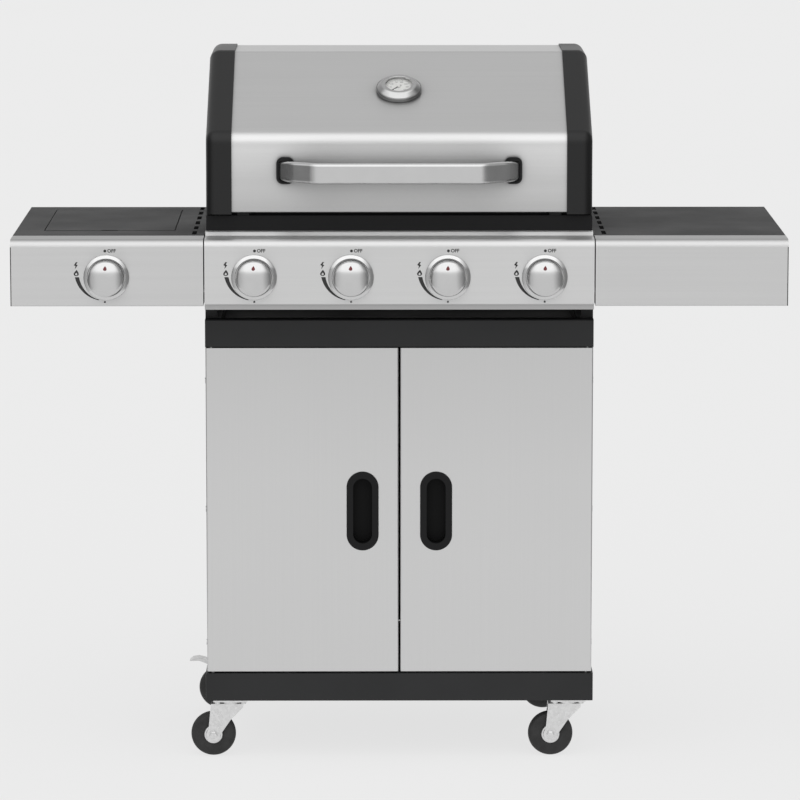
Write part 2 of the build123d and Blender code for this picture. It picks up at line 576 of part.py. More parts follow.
with BuildPart() as side_burner:
    x, depth = BURNER_MID
    rod(SIDE_KNOB_X, (58, depth + 11), KNOB_Z, 11)
    rod(SIDE_KNOB_X, (57, depth - 5), KNOB_Z, 9.6, Mode.SUBTRACT)
    rod(x, depth, (KNOB_Z, WELL_FLOOR_Z + 8), 10)
    rod(x, depth, (WELL_FLOOR_Z + SHEET, WELL_FLOOR_Z + 17), 36)
    rod(x, depth, (WELL_FLOOR_Z + 16, WELL_FLOOR_Z + 20), 41)
    rod(x, depth, (WELL_FLOOR_Z + 20, WELL_FLOOR_Z + 24), 36)
    fillet(side_burner.edges().filter_by(GeomType.CIRCLE).sort_by(Axis.Z)[-1], 2.5)
save(side_burner, "side_burner")

with BuildPart() as side_burner_trivet:
    x, depth = BURNER_MID
    top_z = SHELF_Z[1] - 8
    for dx, dy in ((1, 0), (-1, 0), (0, 1), (0, -1)):
        near, far = 30, 96
        xs = sorted((x + dx * near - (3 if dy else 0), x + dx * far + (3 if dy else 0)))
        ds = sorted((depth + dy * near - (3 if dx else 0), depth + dy * far + (3 if dx else 0)))
        block(xs, ds, (top_z - 8, top_z))
        foot_x = (x + dx * far - 4, x + dx * far + 4)
        foot_d = (depth + dy * far - 4, depth + dy * far + 4)
        block(foot_x, foot_d, (WELL_FLOOR_Z + SHEET, top_z))
    with BuildSketch(Plane.XY.offset(top_z - 10)):
        with Locations((x, at(depth))):
            Circle(94)
            Circle(87, mode=Mode.SUBTRACT)
    extrude(amount=6)
save(side_burner_trivet, "side_burner_trivet")

with BuildPart() as side_burner_lid:
    plate_z = SHELF_Z[1] + 0.4
    block(BURNER_LID_X, BURNER_LID_DEPTH, (plate_z - SHEET, plate_z))
    skirt_z = (plate_z - 9, plate_z)
    for x in ((BURNER_LID_X[0], BURNER_LID_X[0] + SHEET), (BURNER_LID_X[1] - SHEET, BURNER_LID_X[1])):
        block(x, BURNER_LID_DEPTH, skirt_z)
    block(BURNER_LID_X, (BURNER_LID_DEPTH[0], BURNER_LID_DEPTH[0] + SHEET), skirt_z)
    rod((BURNER_LID_X[0] - 1, BURNER_LID_X[1] + 1), BURNER_LID_PIVOT[0], BURNER_LID_PIVOT[1],
        2 + RUNNING, Mode.SUBTRACT)
    with BuildSketch(Plane.XY.offset(plate_z - 12)):
        with Locations((BURNER_MID[0], at(BURNER_LID_DEPTH[0]))):
            SlotOverall(30, 12)
    extrude(amount=14, mode=Mode.SUBTRACT)
save(side_burner_lid, "side_burner_lid")

# ---------------------------------------------------------------- casters
CASTERS = {
    f"{row}_{side}": (sign * CASTER_X, depth, row == "rear")
    for row, depth in CASTER_DEPTHS.items()
    for side, sign in (("left", -1), ("right", 1))
}

with BuildPart() as caster_plates:
    for x, depth, _ in CASTERS.values():
        block((x - 29, x + 29), (depth - 26, depth + 29), (BASE_Z[0] - 2.5, BASE_Z[0]))
        rod(x, depth, (FORK_TOP_Z + 0.4, BASE_Z[0] - 2), 19)
        rod(x, depth, (84, BASE_Z[0] - 3), 5)
        for dx in (-22, 22):
            for dy in (-19, 22):
                rod(x + dx, depth + dy, (BASE_Z[0] - 6, BASE_Z[0] - 2), 4.5)
save(caster_plates, "caster_plates")

for name, (x, depth, braked) in CASTERS.items():
    wheel_x = x - TRAIL
    leg = FORK_GAP + 2
    with BuildPart() as fork:
        with BuildSketch(front_plane(depth + leg)):
            with BuildLine():
                points = [(-33.5, FORK_TOP_Z), (21.5, FORK_TOP_Z), (21.5, 86), (0, 64),
                          (-17.6, WHEEL_R), (-41.4, WHEEL_R), (-37.5, 50)]
                if braked:
                    points += [(-36, 66), (-45, 74), (-45, 86)]
                Polyline(*[(x + px, pz) for px, pz in points], close=True)
            make_face()
            with Locations((wheel_x, WHEEL_R)):
                Circle(12)
        extrude(amount=2 * leg)
        gap = (depth - FORK_GAP, depth + FORK_GAP)
        block((x - 60, x + 40), gap, (0, FORK_TOP_Z - 3), Mode.SUBTRACT)
        if braked:
            block((x - 60, x - 33.6), gap, (60, FORK_TOP_Z + 1), Mode.SUBTRACT)
            rod(x + PEDAL_PIVOT[0], (depth - leg, depth + leg), PEDAL_PIVOT[1], 2.5)
        rod(x, depth, (80, FORK_TOP_Z + 1), 5 + RUNNING, Mode.SUBTRACT)
        rod(wheel_x, (depth - leg - 3, depth + leg + 3), WHEEL_R, AXLE_R)
        for side in (-1, 1):
            near, far = sorted((depth + side * leg, depth + side * (leg + 3.5)))
            rod(wheel_x, (near, far), WHEEL_R, 6.5)
    save(fork, f"caster_fork_{name}")

    with BuildPart() as wheel:
        rod(wheel_x, (depth - 12, depth + 12), WHEEL_R, WHEEL_R)
        fillet(wheel.edges().filter_by(GeomType.CIRCLE), 5)
        rod(wheel_x, (depth - 13, depth + 13), WHEEL_R, HUB_R, Mode.SUBTRACT)
        rod(wheel_x, (depth - 14.4, depth + 14.4), WHEEL_R, HUB_R - 0.05)
        rod(wheel_x, (depth - 15, depth + 15), WHEEL_R, AXLE_R + RUNNING, Mode.SUBTRACT)
    save(wheel, f"caster_wheel_{name}")

    if braked:
        with BuildPart() as pedal:
            with BuildSketch(front_plane(depth + 12)):
                with BuildLine():
                    points = [(-32, 84.5), (-44, 86), (-56, 90), (-68, 93), (-78, 91.5),
                              (-84, 87), (-76, 87), (-68, 87.5), (-56, 83), (-45, 77.2), (-34, 76.8)]
                    Polyline(*[(x + px, pz) for px, pz in points], close=True)
                make_face()
            extrude(amount=24)
            rod(x + PEDAL_PIVOT[0], (depth - 13, depth + 13), PEDAL_PIVOT[1],
                2.5 + RUNNING, Mode.SUBTRACT)
        save(pedal, f"brake_pedal_{name}")
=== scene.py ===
"""Gas barbecue grill: materials, lights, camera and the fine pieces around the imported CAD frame."""

import json
from math import asin, cos, pi, radians, sin, tau

import bmesh
import bpy
from mathutils import Matrix, Vector


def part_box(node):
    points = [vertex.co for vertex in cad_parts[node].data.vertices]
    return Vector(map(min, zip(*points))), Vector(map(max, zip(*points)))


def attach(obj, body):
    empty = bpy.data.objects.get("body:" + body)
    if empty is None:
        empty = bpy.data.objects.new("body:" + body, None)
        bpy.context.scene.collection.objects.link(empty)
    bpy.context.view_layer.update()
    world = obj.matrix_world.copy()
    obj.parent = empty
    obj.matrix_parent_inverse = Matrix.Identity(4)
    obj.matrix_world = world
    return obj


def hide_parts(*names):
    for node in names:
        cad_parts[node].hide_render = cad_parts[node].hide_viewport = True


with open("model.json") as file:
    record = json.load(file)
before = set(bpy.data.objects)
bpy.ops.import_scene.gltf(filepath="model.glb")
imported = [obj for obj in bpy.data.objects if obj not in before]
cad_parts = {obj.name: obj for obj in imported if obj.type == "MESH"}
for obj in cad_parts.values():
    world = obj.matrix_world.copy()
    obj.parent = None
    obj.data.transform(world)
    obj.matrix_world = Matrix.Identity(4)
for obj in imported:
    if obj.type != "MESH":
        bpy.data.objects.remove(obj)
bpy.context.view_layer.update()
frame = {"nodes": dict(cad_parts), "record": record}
NODES = frame["nodes"]
SCENE = bpy.context.scene

KNOBS = ("side", "one", "two", "three", "four")
CASTERS = ("front_left", "front_right", "rear_left", "rear_right")

PANEL_FACE_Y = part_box("control_panel")[0].y
PANEL_FOOT_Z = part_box("control_panel")[0].z
DOOR_LOW, DOOR_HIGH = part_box("door_left")
LID_FOOT_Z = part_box("lid_skin")[0].z
FASCIA_TOP_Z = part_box("shelf_fascia_left")[1].z

SMOOTH_ANGLE = radians(32)     # edges sharper than this stay sharp
SLIVER = 0.00012               # how far a printed mark stands off its surface
DOME = 0.0625                  # radius of the knobs' domed front
DOME_STEPS = 8                 # steps along the dome's profile
STEM_BORE = 0.00412            # radius of the hole in a knob for its stem
STEM_DEPTH = 0.0172            # depth of that hole
MARK_RISE = 0.0438             # height of OFF and its dot over a knob's middle
SWEEP_STEPS = 36               # steps along the printed sweep round a knob

DIAL_TILT = radians(27.4)      # how far the dial tips forwards from facing straight up
DIAL_START, DIAL_SWEEP = radians(225), radians(-270)   # angle of the first mark, angle to the last
TICKS, NUMBERS = 36, 8         # marks and numbers on the dial
NEEDLE_TURN = radians(135)     # from straight up to the first mark
PRINT_LEVEL = -0.0039          # the dial's print, under the middle of the glass

CAMERA_PLACE = (-0.0405, PANEL_FACE_Y - 7.85, 1.7959)
CAMERA_PITCH, CAMERA_YAW = radians(8.52), radians(0.302)
FRONT_SKY = [(0.0, 0.84), (0.23, 0.86), (0.31, 1.46), (0.96, 1.44), (1.0, 1.15)]   # greys by height
BACK_SKY = [(0.0, 0.83), (0.20, 0.80), (0.50, 0.55), (0.97, 0.66)]
SIDE_SKY = [(0.02, 0.18), (0.09, 0.60), (0.25, 1.0), (0.72, 1.0), (0.86, 0.38), (0.97, 0.29)]  # greys by x
FRONT_TO_BACK = [(0.42, 0.0), (0.58, 1.0)]             # where the front sky gives way to the back one
FLOOR_FRONT, FLOOR_BACK = (1.35, -1.0), (14.0, 90.0)   # half width and y of the floor's two edges
FLOOR_GLOW = 0.734             # keeps the shadows on the floor faint


def middle(node):
    """The middle of a CAD node's box."""
    low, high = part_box(node)
    return (low + high) / 2


# ---------------------------------------------------------------- node helpers
def set_stops(ramp, stops):
    """Fills a colour ramp with (position, grey or colour) stops."""
    while len(ramp.elements) < len(stops):
        ramp.elements.new(0.5)
    for element, (position, colour) in zip(ramp.elements, stops):
        element.position = position
        element.color = (*colour, 1) if isinstance(colour, tuple) else (colour, colour, colour, 1)


class Nodes:
    """A material's node tree, with short calls for the nodes used here."""

    def __init__(self, name):
        self.material = bpy.data.materials.new(name)
        self.material.use_nodes = True
        self.tree = self.material.node_tree
        self.shader = self.tree.nodes["Principled BSDF"]
        self.place = None

    def add(self, kind, **settings):
        """A new node, with its sockets and properties set by name."""
        node = self.tree.nodes.new(kind)
        for key, value in settings.items():
            if key in node.inputs:
                node.inputs[key].default_value = value
            else:
                setattr(node, key, value)
        return node

    def link(self, source, target):
        """Links two sockets."""
        self.tree.links.new(source, target)

    def coordinates(self, scale):
        """The object's own coordinates, scaled along each axis."""
        if self.place is None:
            self.place = self.add("ShaderNodeTexCoord")
        mapping = self.add("ShaderNodeMapping")
        mapping.inputs["Scale"].default_value = scale
        self.link(self.place.outputs["Object"], mapping.inputs["Vector"])
        return mapping.outputs["Vector"]

    def level(self, axis, start, end):
        """How far a point lies from start to end along one axis, from 0 to 1."""
        parts = self.add("ShaderNodeSeparateXYZ")
        self.link(self.coordinates((1, 1, 1)), parts.inputs["Vector"])
        reach = self.add("ShaderNodeMapRange")
        self.link(parts.outputs[axis], reach.inputs["Value"])
        reach.inputs["From Min"].default_value = start
        reach.inputs["From Max"].default_value = end
        return reach.outputs["Result"]

    def noise(self, scale, detail=4.0, rough=0.55):
        """Noise over scaled coordinates."""
        node = self.add("ShaderNodeTexNoise", Scale=1.0, Detail=detail, Roughness=rough)
        self.link(self.coordinates(scale), node.inputs["Vector"])
        return node.outputs["Fac"]

    def ramp(self, value, stops):
        """A value turned to colours by a ramp of (position, grey or colour) stops."""
        node = self.add("ShaderNodeValToRGB")
        set_stops(node.color_ramp, stops)
        self.link(value, node.inputs["Fac"])
        return node.outputs["Color"]

    def bump(self, height, strength, distance):
        """A bump from a height."""
        node = self.add("ShaderNodeBump", Strength=strength, Distance=distance)
        self.link(height, node.inputs["Height"])
        return node.outputs["Normal"]

    def surface(self, **sockets):
        """Sets the shader's sockets: a number or colour is set, an output is linked."""
        for key, value in sockets.items():
            socket = self.shader.inputs[key.replace("_", " ")]
            if isinstance(value, bpy.types.NodeSocket):
                self.link(value, socket)
            else:
                socket.default_value = value
        return self.material


# ---------------------------------------------------------------- materials
def steel(name, tone, rough, grain=(2.5, 300, 300), contrast=0.015, brushed=(1, 0, 0), shade=None,
          halo=0.0):
    """Brushed stainless steel: faint scratches along one axis and broad clouds. It may also have painted
    shade and highlight as tones by height, and a soft dark halo of painted shade of a given reach near what
    stands off it."""
    n = Nodes(name)
    scratches = n.noise(grain, detail=3, rough=0.6)
    clouds = n.noise((1.6, 1.6, 1.6), detail=2)
    tones = n.ramp(scratches, [(0.3, (tone * (1 - contrast),) * 3), (0.7, (tone * (1 + contrast),) * 3)])
    cloudy = n.add("ShaderNodeMixRGB", blend_type="MULTIPLY")
    cloudy.inputs["Fac"].default_value = 0.4
    n.link(tones, cloudy.inputs["Color1"])
    n.link(n.ramp(clouds, [(0.3, (0.93, 0.93, 0.925)), (0.7, (1.0, 1.0, 1.0))]), cloudy.inputs["Color2"])
    colour = cloudy.outputs["Color"]
    # painted shade and highlight: the colour is multiplied by tones by height
    if shade:
        low, high, stops = shade
        painted_light_by_height = n.add("ShaderNodeMixRGB", blend_type="MULTIPLY")
        painted_light_by_height.inputs["Fac"].default_value = 1.0
        n.link(colour, painted_light_by_height.inputs["Color1"])
        n.link(n.ramp(n.level("Z", low, high), stops), painted_light_by_height.inputs["Color2"])
        colour = painted_light_by_height.outputs["Color"]
    # painted shade: ambient occlusion darkens the colour near parts that stand off the surface
    if halo:
        near = n.add("ShaderNodeAmbientOcclusion", samples=12, Distance=halo)
        n.link(colour, near.inputs["Color"])
        colour = near.outputs["Color"]
    gloss = n.ramp(scratches, [(0.25, rough * 0.93), (0.75, rough * 1.08)])
    along = n.add("ShaderNodeCombineXYZ", X=brushed[0], Y=brushed[1], Z=brushed[2])
    return n.surface(Base_Color=colour, Metallic=1.0, Roughness=gloss,
                     Anisotropic=0.75, Anisotropic_Rotation=0.25, Tangent=along.outputs["Vector"],
                     Normal=n.bump(scratches, 0.04, 0.0002))


def powder_coat(name, colour, rough, texture=900, strength=0.12, gloss=0.25):
    """Powder-coated sheet: a satin skin with a very fine orange peel and faint dust tones."""
    n = Nodes(name)
    peel = n.noise((texture, texture, texture), detail=2)
    wide = n.noise((6, 6, 6))
    dark = tuple(c * 0.86 for c in colour)
    light = tuple(c * 1.14 for c in colour)
    return n.surface(Base_Color=n.ramp(wide, [(0.3, dark), (0.7, light)]),
                     Roughness=n.ramp(wide, [(0.3, rough * 0.9), (0.7, rough * 1.12)]),
                     Specular_IOR_Level=gloss, Normal=n.bump(peel, strength, 0.0003))


def moulded(name, colour, rough):
    """Moulded plastic with a fine leather-like grain."""
    n = Nodes(name)
    cells = n.add("ShaderNodeTexVoronoi", Scale=1.0)
    n.link(n.coordinates((1400, 1400, 1400)), cells.inputs["Vector"])
    wide = n.noise((25, 25, 25))
    dark = tuple(c * 0.85 for c in colour)
    return n.surface(Base_Color=n.ramp(wide, [(0.3, dark), (0.7, colour)]), Roughness=rough,
                     Specular_IOR_Level=0.3, Normal=n.bump(cells.outputs["Distance"], 0.15, 0.0002))


def shaded(name, colour, rough, axis, start, end):
    """A dull black skin with painted shade: it darkens from a start to an end along one axis, as shade falls
    in a deep recess.
    """
    n = Nodes(name)
    fine = n.noise((900, 900, 900), detail=2)
    level = n.level(axis, start, end)
    dark = tuple(c * 0.4 for c in colour)
    return n.surface(Base_Color=n.ramp(level, [(0.0, colour), (1.0, dark)]), Roughness=rough,
                     Specular_IOR_Level=0.12, Normal=n.bump(fine, 0.15, 0.0003))


def cast_iron(name):
    """Enamelled cast iron: a pitted, slightly glossy black skin."""
    n = Nodes(name)
    pits = n.noise((320, 320, 320), detail=5, rough=0.7)
    wide = n.noise((18, 18, 18))
    return n.surface(Base_Color=n.ramp(pits, [(0.35, 0.018), (0.7, 0.05)]),
                     Roughness=n.ramp(wide, [(0.3, 0.42), (0.75, 0.62)]),
                     Normal=n.bump(pits, 0.5, 0.0006))


def zinc(name, tone):
    """Zinc-plated steel: a bright spangle with dull patches."""
    n = Nodes(name)
    spangle = n.add("ShaderNodeTexVoronoi", Scale=1.0)
    n.link(n.coordinates((260, 260, 260)), spangle.inputs["Vector"])
    wide = n.noise((40, 40, 40))
    colour = n.ramp(spangle.outputs["Color"], [(0.0, tone * 0.9), (1.0, tone * 1.06)])
    return n.surface(Base_Color=colour, Metallic=1.0,
                     Roughness=n.ramp(wide, [(0.3, 0.26), (0.75, 0.46)]),
                     Normal=n.bump(wide, 0.08, 0.0005))


def polished(name, tone, rough):
    """Polished cast metal with a trace of waviness."""
    n = Nodes(name)
    waves = n.noise((60, 60, 60), detail=2)
    return n.surface(Base_Color=n.ramp(waves, [(0.3, tone * 0.97), (0.7, tone)]), Metallic=1.0,
                     Roughness=n.ramp(waves, [(0.3, rough * 0.9), (0.7, rough * 1.1)]),
                     Normal=n.bump(waves, 0.03, 0.0002))


def heat_tinted(name):
    """Burner steel that heat has tinted straw and brown in patches."""
    n = Nodes(name)
    wide = n.noise((14, 14, 14), detail=5, rough=0.6)
    colour = n.ramp(wide, [(0.3, (0.50, 0.46, 0.40)), (0.55, (0.62, 0.60, 0.57)),
                           (0.75, (0.42, 0.36, 0.32))])
    return n.surface(Base_Color=colour, Metallic=1.0, Roughness=n.ramp(wide, [(0.3, 0.3), (0.7, 0.5)]))


def brass(name):
    """Machined brass, a little dull in places."""
    n = Nodes(name)
    wide = n.noise((90, 90, 90), detail=3)
    colour = n.ramp(wide, [(0.3, (0.55, 0.38, 0.14)), (0.7, (0.78, 0.60, 0.28))])
    return n.surface(Base_Color=colour, Metallic=1.0, Roughness=n.ramp(wide, [(0.3, 0.25), (0.7, 0.42)]))


def rubber(name, tone):
    """Dull rubber with scuffed, slightly paler patches."""
    n = Nodes(name)
    scuffs = n.noise((60, 60, 60), detail=6, rough=0.65)
    fine = n.noise((1500, 1500, 1500), detail=2)
    return n.surface(Base_Color=n.ramp(scuffs, [(0.35, tone), (0.8, tone * 1.7)]), Roughness=0.68,
                     Specular_IOR_Level=0.3, Normal=n.bump(fine, 0.2, 0.0002))


def ink(name, colour, rough=0.5):
    """Printed ink: nearly flat, with a faint unevenness."""
    n = Nodes(name)
    wide = n.noise((700, 700, 700), detail=2)
    light = tuple(min(1.0, c * 1.12) for c in colour)
    return n.surface(Base_Color=n.ramp(wide, [(0.3, colour), (0.7, light)]), Roughness=rough)


def clear_glass(name):
    """The thermometer's window: clear, with a trace of unevenness in its gloss."""
    n = Nodes(name)
    wide = n.noise((120, 120, 120), detail=2)
    return n.surface(Base_Color=(1, 1, 1, 1), Transmission_Weight=1.0, IOR=1.15,
                     Roughness=n.ramp(wide, [(0.3, 0.0), (0.7, 0.03)]))


STAINLESS = steel("stainless_across", 0.62, 0.34)
# painted shade: the door steel darkens a little towards the bottom and more towards the top, by height
DOOR_STEEL_PAINTED_SHADE = steel("stainless_upright_painted_shade", 0.725, 0.34, grain=(300, 300, 2.5), contrast=0.012, brushed=(0, 0, 1),
                   shade=(DOOR_LOW.z, DOOR_HIGH.z, [(0.0, 0.96), (0.35, 1.0), (0.6, 1.0), (1.0, 0.93)]))
# painted shade and highlight: ambient occlusion darkens the lid near the handle and thermometer, and tones by
# height darken the lower face and brighten it higher up
LID_STEEL_PAINTED_LIGHT = steel("lid_stainless_painted_light", 0.65, 0.32, halo=0.08,
                  shade=(LID_FOOT_Z, LID_FOOT_Z + 0.140,
                         [(0.0, 0.94), (0.36, 0.90), (0.75, 1.10), (1.0, 0.99)]))
# painted shade: the top face of each shelf front is darkened by height
FASCIA_STEEL_PAINTED_SHADE = steel("fascia_stainless_painted_shade", 0.61, 0.34,
                     shade=(FASCIA_TOP_Z - 0.003, FASCIA_TOP_Z, [(0.0, 1.0), (1.0, 0.74)]))
# painted shade: the lowest 12 mm of the control panel, under its fold, is darkened by height
PANEL_STEEL_PAINTED_SHADE = steel("panel_stainless_painted_shade", 0.645, 0.34,
                    shade=(PANEL_FOOT_Z, PANEL_FOOT_Z + 0.012, [(0.0, 0.70), (0.75, 0.72), (1.0, 1.0)]))
BLACK_SHEET = powder_coat("black_powder_coat", (0.020, 0.0203, 0.021), 0.48)
CAP_SHEET = powder_coat("cap_powder_coat", (0.0055, 0.0056, 0.0059), 0.38, gloss=0.38)
SHELF_SHEET = powder_coat("shelf_powder_coat", (0.0175, 0.0177, 0.0183), 0.56, texture=700, strength=0.3)
ENAMEL = powder_coat("heat_proof_enamel", (0.009, 0.009, 0.0095), 0.55, texture=500, strength=0.25)
# painted shade: the tray is enamel, but its near-black tone is painted shade so the gap above it looks dark
TRAY_ENAMEL_PAINTED_SHADE = powder_coat("tray_enamel_painted_shade", (0.003, 0.003, 0.003), 0.75, gloss=0.05)
IRON = cast_iron("cast_iron")
ZINC = zinc("zinc_plate", 0.74)
CHROME = polished("polished_chrome", 0.66, 0.12)
BEZEL_METAL = polished("thermometer_chrome", 0.54, 0.12)
# painted shade: a darker copy of the polished metal for the thermometer's outer wall
SKIRT_PAINTED_SHADE_METAL = polished("thermometer_skirt", 0.27, 0.20)
KNOB_METAL = polished("knob_satin_metal", 0.62, 0.20)
HANDLE_METAL = polished("handle_satin_metal", 0.62, 0.22)
BURNER_STEEL = heat_tinted("burner_steel")
BRASS = brass("valve_brass")
BLACK_PLASTIC = moulded("black_plastic", (0.016, 0.016, 0.017), 0.5)
TREAD = rubber("caster_tread", 0.023)
SEAL = rubber("buffer_rubber", 0.014)
BLACK_INK = ink("black_ink", (0.016, 0.016, 0.016))
RED_INK = ink("red_ink", (0.13, 0.008, 0.010), 0.35)
NEEDLE_INK = ink("needle_ink", (0.12, 0.12, 0.12))
GREY_INK = ink("grey_ink", (0.34, 0.34, 0.34))
DIAL_WHITE = ink("dial_white", (0.80, 0.80, 0.78), 0.4)
GLASS = clear_glass("window_glass")
# painted shade: the grips darken over the 12 mm behind the door's front face, as shade in the recess
GRIP_PAINTED_SHADE = shaded("grip_plastic_painted_shade", (0.0115, 0.0115, 0.012), 0.5, "Y", DOOR_LOW.y, DOOR_LOW.y + 0.012)
# painted shade: the firebox enamel darkens downwards to the control panel's foot and stays dark below it, as
# shade under the panel
FIREBOX_PAINTED_SHADE = shaded("firebox_enamel_painted_shade", (0.014, 0.014, 0.0145), 0.55, "Z", PANEL_FOOT_Z + 0.05, PANEL_FOOT_Z)

FINISH = {
    "stainless": STAINLESS, "black_sheet": BLACK_SHEET, "shelf_sheet": SHELF_SHEET,
    "enamel": ENAMEL, "zinc": ZINC, "chrome": CHROME, "burner_steel": BURNER_STEEL,
    "brass": BRASS, "cast_iron": IRON, "black_plastic": BLACK_PLASTIC, "grey_tread": TREAD,
    "rubber": SEAL, "dial_face": DIAL_WHITE, "glass": GLASS,
}
SPECIAL = {
    "door_left": DOOR_STEEL_PAINTED_SHADE, "door_right": DOOR_STEEL_PAINTED_SHADE, "lid_handle": HANDLE_METAL,
    "lid_cap_left": CAP_SHEET, "lid_cap_right": CAP_SHEET, "door_grip_left": GRIP_PAINTED_SHADE,
    "door_grip_right": GRIP_PAINTED_SHADE, "firebox": FIREBOX_PAINTED_SHADE,
    "lid_skin": LID_STEEL_PAINTED_LIGHT, "control_panel": PANEL_STEEL_PAINTED_SHADE, "grease_tray": TRAY_ENAMEL_PAINTED_SHADE,
    "shelf_fascia_left": FASCIA_STEEL_PAINTED_SHADE, "shelf_fascia_right": FASCIA_STEEL_PAINTED_SHADE,
}


def dress_frame():
    """Gives every CAD node its material, from its slot in the record."""
    for entry in frame["record"]["subparts"]:
        node = entry["node"]
        finish = SPECIAL.get(node, FINISH[entry["material_slot"]])
        data = NODES[node].data
        data.materials.clear()
        data.materials.append(finish)


# ---------------------------------------------------------------- piece helpers
def piece(name, mesh, material, body, stands_for=None):
    """A finished piece from a mesh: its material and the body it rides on."""
    made = bpy.data.objects.new(name, mesh)
    SCENE.collection.objects.link(made)
    mesh.materials.append(material)
    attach(made, body)
    if stands_for:
        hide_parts(stands_for)


def mesh_of(bm, name, smooth=True):
    """A mesh from a bmesh, smooth except at sharp edges."""
    bmesh.ops.recalc_face_normals(bm, faces=bm.faces)
    mesh = bpy.data.meshes.new(name)
    bm.to_mesh(mesh)
    bm.free()
    if smooth:
        mesh.shade_smooth()
        mesh.set_sharp_from_angle(angle=SMOOTH_ANGLE)
    return mesh


def lathe(bm, profile, centre, axis, steps=96, closed=True):
    """Turns a profile of (radius, distance along the axis) points about an axis."""
    turn = Vector((0, 0, 1)).rotation_difference(Vector(axis)).to_matrix()
    centre = Vector(centre)
    rings = []
    for radius, along in profile:
        if radius < 1e-7:
            rings.append([bm.verts.new(centre + turn @ Vector((0, 0, along)))])
            continue
        ring = []
        for i in range(steps):
            a = tau * i / steps
            ring.append(bm.verts.new(centre + turn @ Vector((radius * cos(a), radius * sin(a), along))))
        rings.append(ring)
    pairs = list(zip(rings, rings[1:] + rings[:1] if closed else rings[1:]))
    for a, b in pairs:
        if len(a) == 1 and len(b) == 1:
            continue
        for i in range(steps):
            j = (i + 1) % steps
            corners = [a[i % len(a)], a[j % len(a)], b[j % len(b)], b[i % len(b)]]
            corners = list(dict.fromkeys(corners))
            if len(corners) > 2:
                bm.faces.new(corners)


def rounded(points, radius, steps=5):
    """A profile whose inner corners are rounded, by a radius or one radius per corner."""
    out = [points[0]]
    radii = radius if isinstance(radius, (list, tuple)) else [radius] * (len(points) - 2)
    for (before, here, after), r in zip(zip(points, points[1:], points[2:]), radii):
        p, a, b = Vector(here), Vector(before), Vector(after)
        reach = min(r, (a - p).length * 0.49, (b - p).length * 0.49)
        start, end = p + (a - p).normalized() * reach, p + (b - p).normalized() * reach
        for i in range(steps + 1):
            t = i / steps
            q = start * (1 - t) ** 2 + p * 2 * t * (1 - t) + end * t ** 2
            out.append((q.x, q.y))
    out.append(points[-1])
    return out


def flat_shape(bm, outline, place, thick=SLIVER):
    """A thin raised shape: an outline of (x, y) points, set by a matrix, with a real thickness."""
    back = [bm.verts.new(place @ Vector((x, y, 0))) for x, y in outline]
    front = [bm.verts.new(place @ Vector((x, y, thick))) for x, y in outline]
    bm.faces.new(front)
    bm.faces.new(back[::-1])
    for i in range(len(outline)):
        j = (i + 1) % len(outline)
        bm.faces.new([back[i], back[j], front[j], front[i]])


def ring_shape(bm, outer, inner, place):
    """A thin raised band between two outlines with the same number of points."""
    count = len(outer)
    layers = []
    for height in (0, SLIVER):
        layers.append([[bm.verts.new(place @ Vector((x, y, height))) for x, y in line]
                       for line in (outer, inner)])
    (back_out, back_in), (front_out, front_in) = layers
    for i in range(count):
        j = (i + 1) % count
        bm.faces.new([front_out[i], front_out[j], front_in[j], front_in[i]])
        bm.faces.new([back_out[i], back_in[i], back_in[j], back_out[j]])
        bm.faces.new([back_out[i], back_out[j], front_out[j], front_out[i]])
        bm.faces.new([back_in[i], front_in[i], front_in[j], back_in[j]])


def text_shape(bm, words, size, place):
    """Thin raised letters or numbers, centred on a matrix's origin."""
    data = bpy.data.curves.new("letters", "FONT")
    data.body = words
    data.size = size
    data.align_x, data.align_y = "CENTER", "CENTER"
    data.extrude = SLIVER / 2
    data.offset = size * 0.03
    data.resolution_u = 3
    letters = bpy.data.objects.new("letters", data)
    SCENE.collection.objects.link(letters)
    bpy.context.view_layer.update()
    mesh = bpy.data.meshes.new_from_object(letters)
    mesh.transform(place @ Matrix.Translation((0, 0, SLIVER / 2)))
    bm.from_mesh(mesh)
    bpy.data.objects.remove(letters)
    bpy.data.meshes.remove(mesh)


def facing_front(x, y, z):
    """A place on a vertical face that looks forwards: its x is +X, its y is +Z."""
    turn = Matrix(((1, 0, 0), (0, 0, -1), (0, 1, 0))).to_4x4()
    return Matrix.Translation((x, y, z)) @ turn


# ---------------------------------------------------------------- knobs and panel print
def flame_outline(size, width=0.62, lean=0.07):
    """A flame's outline: a drop with its tip up, leaning a little."""
    points = []
    for i in range(28):
        a = tau * i / 28
        height = cos(a) / 2
        across = width * sin(a) * abs(sin(a / 2)) ** 1.3
        points.append((size * (across + lean * (height + 0.5) ** 2), size * height))
    return points


